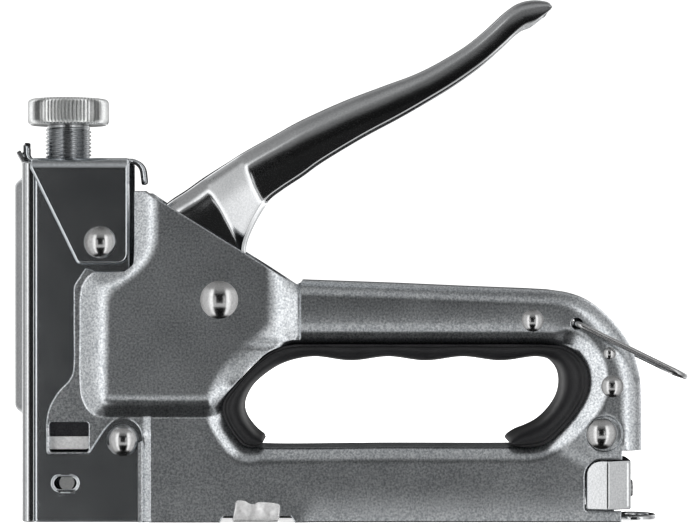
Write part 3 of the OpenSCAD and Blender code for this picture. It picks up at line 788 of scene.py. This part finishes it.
wing = COVER_SPAN + 1.2
half_top = [(wing, 0), (wing, 92.4), (6.2, 92.4), (5.2, 92.0), (4.9, 95.4), (2.9, 95.4), (2.6, 92.0),
            (2.2, 92.0), (2.2, 97.6)]
cover_loop = half_top + [(-x, z) for x, z in half_top[::-1]]
cover_lines = uprights(bend_places(NOSE_Y - COVER_R, COVER_SPAN), 0, NOSE_HEIGHT, 0.7)
cover_lines.append(beside(RIB, [-0.5, -0.2, 0, 0.5, 1.0, 1.4, 1.9, 2.4, 2.8,
                                0.2, -1.0, -1.4, -1.9, -2.4, -2.8]))
cover = sheet("front_cover_pressing", cover_place, dense(cover_loop, 0.7), [], np.vstack(cover_lines),
              2.5, 1.1, 0.3)
finish_piece(cover, "casing", bright, "front_cover")

# ---- lever ----

TOP = [(-70.2, 46.5), (-62.5, 49.5), (-58.0, 55), (-55.2, 62.5), (-53.9, 70), (-51.5, 77.3),
       (-47.5, 81.9), (-42.5, 85.3), (-38.3, 88.3), (-33.6, 91.3), (-28.8, 94.3), (-25.2, 96.4),
       (-19.4, 99.6), (-12.9, 103.2), (-2.3, 108.0), (8.3, 112.0), (16.2, 114.9), (22.5, 118.0),
       (29.4, 122.2), (34.7, 126.4), (39.9, 131.2), (43.1, 133.3), (46.8, 134.1), (50.4, 133.6),
       (51.7, 132.3)]
LOW = [(-68.4, 41.7), (-60.0, 44.7), (-50, 47.4), (-40, 48.3), (-32, 48.8), (-26.6, 52.0),
       (-25.5, 57), (-26.9, 64), (-28.2, 69.9), (-26.2, 76.0), (-22.3, 82.5), (-18.4, 85.8),
       (-12.8, 89.5), (-7.5, 93.3), (2.8, 99.5), (12.5, 104.7), (19.8, 108.9), (26.5, 113.0),
       (33.4, 117.9), (38.6, 122.4), (42.0, 125.6), (44.6, 127.6), (47.2, 128.6), (49.6, 130.2),
       (51.2, 131.5)]
WIDTH = [11] * 13 + [10.9, 10.8, 10.6, 10.5, 10.3, 10.1, 9.9, 9.7, 9.5, 9.4, 9.3, 9.2]
ROUND = [0.8, 0.8, 0.8, 1.5, 3, 4, 4.6] + [4.8] * 12 + [4.9, 4.9, 4.8, 4.6, 3.4, 1.2]
FINE = 7
LEVER_SHEET = 1.3


def along(values):
    """Station values made finer along a smooth curve."""
    v = np.array(values, float).reshape(len(values), -1)
    t = np.linspace(0, len(v) - 1, (len(v) - 1) * FINE + 1)
    i = np.clip(t.astype(int), 0, len(v) - 2)
    f = (t - i)[:, None]
    g = np.gradient(v, axis=0)
    rise = 3 * f**2 - 2 * f**3
    return v[i] * (1 - rise) + g[i] * (f**3 - 2 * f**2 + f) + v[i + 1] * rise + g[i + 1] * (f**3 - f**2)


tops, lows, rounds = along(TOP), along(LOW), along(ROUND)[:, 0]
widths = np.interp(np.linspace(0, len(WIDTH) - 1, len(tops)), range(len(WIDTH)), WIDTH)
RAMP_START = np.array([-37.9, 88.6])
RAMP_ACROSS = np.array([0.889, 0.459])
RAMP_LONG = 10.6
NECK_Y = 7


def plan(x, z, w):
    """The lever's half width: narrow at the neck, wide past the ramp."""
    t = (x - RAMP_START[0]) * RAMP_ACROSS[0] + (z - RAMP_START[1]) * RAMP_ACROSS[1]
    return NECK_Y + (w - NECK_Y) * (soft(t, 0.5) - soft(t - RAMP_LONG, 0.7)) / RAMP_LONG


def section(low, top, w, r):
    """One cross-section of the lever, from the near lower edge over the back to the far one."""
    tall = np.linalg.norm(top - low)
    up = (top - low) / tall
    r = min(r, 0.46 * tall)
    heights = [0, 0.08, 0.2, 0.35] if tall > 2 else [0, 0.1 * tall, 0.2 * tall, 0.3 * tall]
    flat = heights[-1]
    heights += [flat + (tall - r - flat) * f for f in np.linspace(0.1, 1, 12)]
    pts = []
    for h in heights:
        x, z = low + up * h
        curve = 0.022 * max(0, h - (tall - r - 4.5)) ** 2
        pts.append((h, plan(x, z, w) - curve + 0.3 * max(0, flat - h) ** 2))
    last = pts[-1][1]
    lean = math.atan(0.044 * min(4.5, tall - r))
    for a in np.linspace(lean, math.pi / 2, 11)[1:]:
        h = tall - r + r * (math.sin(a) - math.sin(lean)) / (1 - math.sin(lean))
        x, z = low + up * h
        shift = plan(x, z, w) - plan(*(low + up * (tall - r)), w)
        pts.append((h, last + shift - r * (math.cos(lean) - math.cos(a))))
    rest = pts[-1][1]
    for f in (0.75, 0.5, 0.25):
        pts.append((tall + 0.25 * (1 - f), rest * f))
    pts = np.array(pts)
    pts = np.vstack([pts, [(tall + 0.3, 0)], pts[::-1] * [1, -1]])
    return np.stack([low[0] + up[0] * pts[:, 0], -pts[:, 1], low[1] + up[1] * pts[:, 0]], 1)


outer_rows = np.array([section(*row) for row in zip(lows, tops, widths, rounds)])
stations, m = outer_rows.shape[:2]
lever_out = unit(np.cross(np.gradient(outer_rows, axis=1), np.gradient(outer_rows, axis=0)))
turned = ((outer_rows - outer_rows.mean(1, keepdims=True)) * lever_out).sum(2).mean() < 0
if turned:
    lever_out = -lever_out
# the sheet thins out at the tip
tail = np.clip((np.arange(stations)[::-1] - 2) / (4 * FINE), 0.05, 1)
inner_rows = outer_rows - lever_out * LEVER_SHEET * tail[:, None, None]
verts = np.vstack([outer_rows.reshape(-1, 3), inner_rows.reshape(-1, 3)])
total = stations * m
# the neck is two cheeks, open between them up to here
OPEN_UNTIL = 4 * FINE
CHEEK = 15
cells = {(i, j) for i in range(stations - 1) for j in range(m - 1)
         if i >= OPEN_UNTIL or not CHEEK <= j < m - 1 - CHEEK}
quads = []
for i, j in cells:
    a, b, c, d = i * m + j, i * m + j + 1, (i + 1) * m + j + 1, (i + 1) * m + j
    quads += [[a, b, c, d], [d + total, c + total, b + total, a + total]]
    for di, dj, p, q in ((0, -1, d, a), (0, 1, b, c), (-1, 0, a, b), (1, 0, c, d)):
        if (i + di, j + dj) not in cells:
            quads.append([q, p, p + total, q + total])
if turned:
    quads = [f[::-1] for f in quads]
used = sorted({i for f in quads for i in f})
index = {v: k for k, v in enumerate(used)}
lever = build("lever_pressing", verts[used], [[index[i] for i in f] for f in quads], sharp=50)
finish_piece(lever, "lever", bright, "lever")

# ---- adjuster knob ----

TEETH = 66
THREAD_R = 5.95
THREAD_DEEP = 0.62
KNOB_R = 10.5


def ring(r, z, sides=72, cut=0.0):
    """A ring of points about the adjuster's axis; cut is the depth of the knurl's grooves."""
    a = np.linspace(0, 2 * math.pi, sides, endpoint=False)
    if cut:
        r = r - cut * np.abs(((a * TEETH / (2 * math.pi)) % 1) * 2 - 1)
    return np.stack([AXIS_X + r * np.cos(a), r * np.sin(a), np.full(sides, z)], 1)


head = [(0.01, 108.2, 0), (7.6, 108.2, 0), (8.0, 108.3, 0), (8.3, 108.65, 0), (8.7, 108.95, 0),
        (9.3, 109.0, 0), (9.8, 108.92, 0.05), (10.2, 108.6, 0.3), (10.42, 108.2, 0.5),
        (KNOB_R, 107.7, 0.55), (KNOB_R, 105.6, 0.55), (KNOB_R, 103.5, 0.55), (10.42, 103.0, 0.5),
        (10.2, 102.6, 0.3), (9.8, 102.3, 0.05), (9.3, 102.2, 0), (5.6, 102.2, 0)]
knob_head = grid_mesh("knob_head", [ring(r, z, TEETH * 6, cut) for r, z, cut in head],
                      sharp=30, flip=True)
thread_rows = []
for z in np.arange(86.5, 102.21, 0.125):
    phase = (z - np.arange(72) / 72) % 1
    crest = THREAD_R - THREAD_DEEP * np.clip(np.abs(phase - 0.5) * 2 * 1.15 - 0.08, 0, 1)
    fade = step((z - 101.0) / 0.6)
    thread_rows.append(ring(crest * (1 - fade) + 5.45 * fade, z))
knob_thread = grid_mesh("knob_screw", thread_rows, cap=True, sharp=70)
pip = grid_mesh("knob_pip", [ring(*row) for row in ((1.3, 85.0), (1.8, 85.15), (1.95, 85.5), (1.95, 86.6))],
                cap=True)
finish_piece(knob_head, "knob", zinc, "adjuster_knob")
# the screw thread and pip take the darker zinc copy, painted shade
finish_piece(join([knob_thread, pip], "knob_thread"), "knob", shaded_thread_zinc)

# ---- rivets ----


def rivet(name, spot, r, h, y, shank, node):
    """A domed head on each side with a small rolled edge, on one shank: r and h are a head's radius
    and height, y is where it sits."""
    ball = (r * r + h * h) / (2 * h)
    profile = [(shank, 0.0), (shank, y - 1.2), (r * 0.93, y - 0.9), (r * 0.99, y - 0.15), (r, y + 0.05)]
    top = math.asin(min(1, r / ball))
    for k in range(1, 17):
        a = top * (1 - k / 16)
        profile.append((max(ball * math.sin(a), 0.001), y + h - ball + ball * math.cos(a) + 0.05))
    t = np.linspace(0, 2 * math.pi, 64, endpoint=False)
    halves = []
    for side in (-1, 1):
        rows = [np.stack([spot[0] + q * np.cos(t), np.full(64, side * v), spot[1] + q * np.sin(t)], 1)
                for q, v in profile]
        halves.append(grid_mesh(name, rows, sharp=45, flip=side > 0))
    return finish_piece(join(halves, name), "casing", rivet_nickel, node)


rivet("pivot_pin_heads", PIVOT, 4.85, 1.7, MAIN_Y, 2.95, "lever_pivot_pin")
for name, spot, *sizes in (
        ("upper_nose_rivet", (-64.3, 71.8), 4.15, 1.9, BRACKET_Y, 2),
        ("lower_nose_rivet", (-58.6, 21), 4.1, 1.9, NOSE_Y, 2),
        ("handle_rivet", (46.4, 51.8), 2.85, 1.2, HANDLE_Y, 1.6),
        ("small_rear_rivet", (66, 43.4), 1.6, 0.7, HANDLE_Y - 0.1, 0.9),
        ("middle_rear_rivet", (66.7, 35), 2.85, 1.2, HANDLE_Y, 1.6),
        ("lower_rear_rivet", (64.1, 22.9), 4, 1.7, HANDLE_Y - 0.6, 2)):
    rivet(name + "_heads", spot, *sizes, name)

# ---- wires and springs ----


def bent(points, radii, turn=9):
    """A line in space with its corners rounded."""
    p = np.array(points, float)
    out = [p[0]]
    for i in range(1, len(p) - 1):
        u, v, r = unit(p[i - 1] - p[i]), unit(p[i + 1] - p[i]), radii[i - 1]
        half = math.acos(np.clip(u @ v, -1, 1)) / 2
        centre = p[i] + unit(u + v) * r / math.sin(half)
        a = p[i] + u * r / math.tan(half) - centre
        b = p[i] + v * r / math.tan(half) - centre
        sweep = math.pi - 2 * half
        n = max(3, round(math.degrees(sweep) / turn))
        for k in range(n + 1):
            t = k / n
            out.append(centre + (a * math.sin((1 - t) * sweep) + b * math.sin(t * sweep)) / math.sin(sweep))
    out.append(p[-1])
    return np.array(out)


def coil(centre, axis, r, length, turns, start=0.0, per_turn=24):
    """Points of a round coil from centre along an axis, with closed end turns."""
    k = np.linspace(0, 1, int(turns * per_turn) + 1)
    a = start + 2 * math.pi * turns * k
    flat = 0.8 / turns
    s = np.interp(k, [0, flat, 1 - flat, 1], [0, 0.6 / length, 1 - 0.6 / length, 1])
    rows = [r * np.cos(a), r * np.sin(a)]
    rows.insert("xyz".index(axis), length * s)
    return np.array(centre) + np.stack(rows, 1)


bail_line = bent([(57.7, -11.0, 51), (57.7, -13.6, 51), (85.5, -13.6, 37.45), (85.5, 13.6, 37.45),
                  (57.7, 13.6, 51), (57.7, 11.0, 51)], [1.5, 3.8, 3.8, 1.5])
bail = tube("lock_bail_wire", dense(bail_line, 1.5, False), 0.75, 20)
finish_piece(bail, "bail", spring, "lock_bail")

main_spring = tube("main_spring_coil", coil((AXIS_X, 0, 27.9), "z", 4.35, 55.2, 13), 0.85, 10)
finish_piece(main_spring, "casing", spring, "main_spring")
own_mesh(main_spring)
pusher_spring = tube("pusher_spring_coil", coil((-59.4, 0, 8), "x", 2.0, 129.8, 44, per_turn=14), 0.35, 6)
finish_piece(pusher_spring, "magazine", spring, "pusher_spring")
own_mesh(pusher_spring)
fixed_leg = np.vstack([[(-57.2, -3.2, 17.8), (-45, -3.2, 38)],
                       coil((PIVOT[0], -3.2, PIVOT[1]), "y", 4.3, 6.4, 5, math.pi * 0.85)])
return_spring = tube("return_spring_coil", fixed_leg, 0.5, 8)
finish_piece(return_spring, "casing", spring, "lever_return_spring")
moving_line = [(-37.6, 3.2, 58.8), (-40, 3.2, 68), (-42.5, 3.2, 76), (-44, 3.2, 80.6)]
moving_leg = tube("return_spring_leg", moving_line, 0.5, 8)
finish_piece(moving_leg, "lever", spring)

# ---- magazine ----

CAP_RIDGE = 65.9
CAP_BEND = 71.1


def cap_place(p):
    """The end cap's side wing bends round the rear; p is (distance back, z)."""
    u, z = p[:, 0], p[:, 1]
    side = 7.8 + 1.6 * np.clip((u - 60.3) / 5.6, 0, 1) - 2.2 * np.clip((u - CAP_RIDGE) / 5.2, 0, 1)
    # past the wing it runs round a bend of radius 1 and across the back
    turn = np.clip(u - CAP_BEND, 0, math.pi / 2)
    flat = np.maximum(u - CAP_BEND - math.pi / 2, 0)
    return np.stack([np.minimum(u, CAP_BEND) + np.sin(turn), 1 - np.cos(turn) + flat - side, z], 1)


cap_end = CAP_BEND + math.pi / 2 + 6.2
cap_loop = rounded([(60.3, 3.1), (cap_end, 3.1), (cap_end, 15.8), (60.3, 15.8)], [0.9, 0, 0, 3.9])
cap_lines = uprights((65.5, 65.9, 66.3, 70.8, 71.1, 71.4, 71.7, 72.0, 72.3, 72.7), 3.2, 15.7, 0.9)
half_cap = sheet("end_cap_half", cap_place, dense(cap_loop, 1.0), [], np.vstack(cap_lines), 1.4, 1.0, 0.35)
cap = join([mirrored(half_cap, "end_cap_other"), half_cap], "end_cap_pressing")
finish_piece(cap, "magazine", bright, "end_cap")


def flat_place(p):
    return np.stack([p[:, 0], p[:, 1], np.full(len(p), 1.35)], 1)


ring_turns = np.radians(range(-118, 119, 8))
tab_loop = np.vstack([[(64, -4.5), (69.2, -4.5)],
                      np.stack([73.3 + 6 * np.cos(ring_turns), 6 * np.sin(ring_turns)], 1),
                      [(69.2, 4.5), (64, 4.5)]])
tab = sheet("pull_ring_tab", flat_place, dense(tab_loop, 1.0), [circle((74.4, 0), 3, 40)], (), 1.2, 1.05, 0.5)
finish_piece(tab, "magazine", bright, "pull_tab")

# staple track: a channel open below, with the bent side tabs that clip it into the shells
TRACK_TOP = 14.2
TRACK_R = 0.9
track_fold, TRACK_SPAN = fold(4.8, 0, TRACK_R)


def track_place(p):
    down, across = track_fold(p[:, 1])
    return np.stack([p[:, 0], across, TRACK_TOP - down], 1)


track_edge = TRACK_SPAN + TRACK_TOP - TRACK_R - 0.6
track_loop, track_gap = [dense([(x0, -w), (x1, -w), (x1, w), (x0, w)], 3)
                         for x0, x1, w in ((-79.5, 58, track_edge), (-70, 54, 1.3))]
track_lines = [dense([(-79, q), (57.5, q)], 4, False) for q in bend_places(3.9, TRACK_SPAN, 4)]
track = sheet("staple_track", track_place, track_loop, [track_gap], np.vstack(track_lines), 5, 1.0, 0.2)
CLIP_R = 1.1
CLIP_FLAT = 10.0
CLIP_TURN = CLIP_R * math.pi / 2


def side_tab(p):
    """p is (x, distance from the middle): out under the shell, then up its side with a bulge."""
    x, s = p[:, 0], p[:, 1]
    turn = np.clip((s - CLIP_FLAT) / CLIP_R, 0, math.pi / 2)
    up = np.maximum(s - CLIP_FLAT - CLIP_TURN, 0)
    barrel = 0.25 - 0.25 * np.cos(0.9 * (x + 28.6)) + 0.05 * np.sin(1.9 * x + 0.4) * np.sin(1.6 * up + 0.8)
    y = np.minimum(s, CLIP_FLAT) + CLIP_R * np.sin(turn) - 0.05 * up * up - barrel * step(up + 0.4)
    return np.stack([x, -y, 0.15 + CLIP_R * (1 - np.cos(turn)) + up], 1)


bend_end = CLIP_FLAT + CLIP_TURN
clip_loop = dense([(-30.2, 4.6), (-18.6, 4.6), (-18.6, 10.4), (-18.0, bend_end + 3.3),
                   (-18.6, bend_end + 3.9), (-28.9, bend_end + 4.7), (-29.6, bend_end + 4.2),
                   (-30.4, 10.4)], 0.7)
clip_lines = [dense([(-30, q), (-18.6, q)], 0.7, False) for q in np.linspace(CLIP_FLAT, bend_end, 6)]
clip_near = sheet("track_clip", side_tab, clip_loop, [], np.vstack(clip_lines), 0.8, 1.0, 0.35)
clips = join([mirrored(clip_near, "track_clip_far"), clip_near], "track_clips")
finish_piece(track, "casing", bright, "magazine_track")
finish_piece(clips, "casing", matt)

# ---- the other CAD nodes keep their shape ----

kept = {"spring_seat": hard, "hammer": hard, "driver_blade": hard, "staple_pusher": hard,
        "blade_rivets": bright, "hammer_stop": matt, "pivot_spacers": zinc, "nose_pin": zinc,
        "pusher_rod": zinc}
for name, mat in kept.items():
    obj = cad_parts[name]
    obj.data.materials.clear()
    obj.data.materials.append(mat)
    obj.data.polygons.foreach_set("use_smooth", [True] * len(obj.data.polygons))
    obj.data.set_sharp_from_angle(angle=math.radians(30))

# ---- floor, lights and camera ----

FLOOR_HALF = 2.0
scene = bpy.context.scene
fm = bpy.data.meshes.new("floor")
corners = [(x * FLOOR_HALF, y * FLOOR_HALF, -0.0001) for x, y in ((-1, -1), (1, -1), (1, 1), (-1, 1))]
fm.from_pydata(corners, [], [(0, 1, 2, 3)])
floor = bpy.data.objects.new("floor", fm)
scene.collection.objects.link(floor)
floor_mat = bpy.data.materials.new("pale_floor")
floor_mat.use_nodes = True
for socket, v in {"Base Color": (0.9, 0.9, 0.9, 1), "Roughness": 0.9, "Specular IOR Level": 0.0,
                  "Emission Color": (1, 1, 1, 1), "Emission Strength": 0.62}.items():
    floor_mat.node_tree.nodes["Principled BSDF"].inputs[socket].default_value = v
fm.materials.append(floor_mat)
floor.visible_glossy = False

world = bpy.data.worlds.new("studio")
bpy.context.scene.world = world
world.use_nodes = True
wt = world.node_tree
wt.nodes.clear()


def op(kind, *values):
    return node(wt, "Math", dict(enumerate(values)), operation=kind)


def ramp(value, start, end, low=0.0, high=1.0):
    """A smooth change from low to high as value goes from start to end."""
    if start > end:
        start, end, low, high = end, start, high, low
    return spread(wt, value, low, high, start, end, interpolation_type="SMOOTHSTEP")


def over(under, top, *masks):
    """under, replaced by the number or value top where every mask is 1."""
    mask = masks[0]
    for more in masks[1:]:
        mask = op("MULTIPLY", mask, more)
    return node(wt, "Mix", {"Factor": mask, "A": under, "B": top}, "Result")


# a studio round the tool as its polished faces see it: a dark middle, strips and side banks of
# light, grey above, black below; azimuth and height are in degrees from the camera's side
direction = node(wt, "TexCoord", {}, "Generated")
wx, wy, wz = [node(wt, "SeparateXYZ", {0: direction}, k) for k in range(3)]
azimuth = op("MULTIPLY", op("ARCTAN2", op("ABSOLUTE", wx), op("ABSOLUTE", wy)), 180 / math.pi)
height = op("MULTIPLY", op("ARCSINE", wz), 180 / math.pi)
light = ramp(height, 22, 44, 0.17, 0.36)
light = over(light, 0.17, ramp(height, 50, 85))
bank = over(ramp(azimuth, 33, 48, 1.35, 0.66), 0.36, ramp(azimuth, 62, 84))
light = over(light, bank, ramp(azimuth, 22, 28), ramp(height, 46, 28))
light = over(light, 0.60, ramp(azimuth, 26, 20), ramp(height, -10, -14))
light = over(light, 0.010, ramp(azimuth, 31, 24), ramp(height, -25, -31))
light = over(light, 0.02, ramp(height, -52, -66))
light = over(light, 0.30, ramp(azimuth, 26, 21), ramp(height, 26, 18), ramp(height, -15, -11))
light = over(light, 0.010, ramp(azimuth, 25, 20), ramp(height, 25, 20), ramp(height, 7, 10))
light = over(light, 0.80, ramp(azimuth, 14, 15.5), ramp(azimuth, 20, 18.5), ramp(height, 16, 12),
             ramp(height, -17, -13))
light = over(light, 0.022, ramp(azimuth, 14.5, 12.5), ramp(height, 12, 8), ramp(height, -15, -11))
seen = node(wt, "LightPath", {}, "Is Camera Ray")
glow = node(wt, "Background", {"Color": (1.0, 1.0, 1.0, 1), "Strength": over(light, 1.0, seen)})
node(wt, "OutputWorld", {"Surface": glow}, None)


def area(name, place, aim, size, power):
    """A square soft light that the tool's polished faces don't mirror."""
    data = bpy.data.lights.new(name, "AREA")
    data.shape = "SQUARE"
    data.size = size
    data.energy = power
    obj = bpy.data.objects.new(name, data)
    obj.location = place
    obj.rotation_mode = "QUATERNION"
    obj.rotation_quaternion = (Vector(aim) - Vector(place)).to_track_quat("-Z", "Y")
    obj.visible_glossy = False
    scene.collection.objects.link(obj)


area("key", (-0.5, -0.7, 0.9), (0, 0, 0.05), 0.7, 9)
area("top", (0.1, 0.1, 1.1), (0, 0, 0), 1.2, 14)

CAM_FAR = 0.650
VIEW_WIDE = 0.182
cam_data = bpy.data.cameras.new("camera")
cam_data.sensor_width = 36
cam_data.lens = 36 * CAM_FAR / VIEW_WIDE
cam_data.clip_start, cam_data.clip_end = 0.01, 20
cam = bpy.data.objects.new("camera", cam_data)
cam.location = (-0.00026, -CAM_FAR, 0.0666)
cam.rotation_euler = (math.pi / 2, 0, 0)
scene.collection.objects.link(cam)
bpy.context.scene.camera = cam
scene.view_settings.view_transform = "Standard"
scene.view_settings.look = "Medium High Contrast"
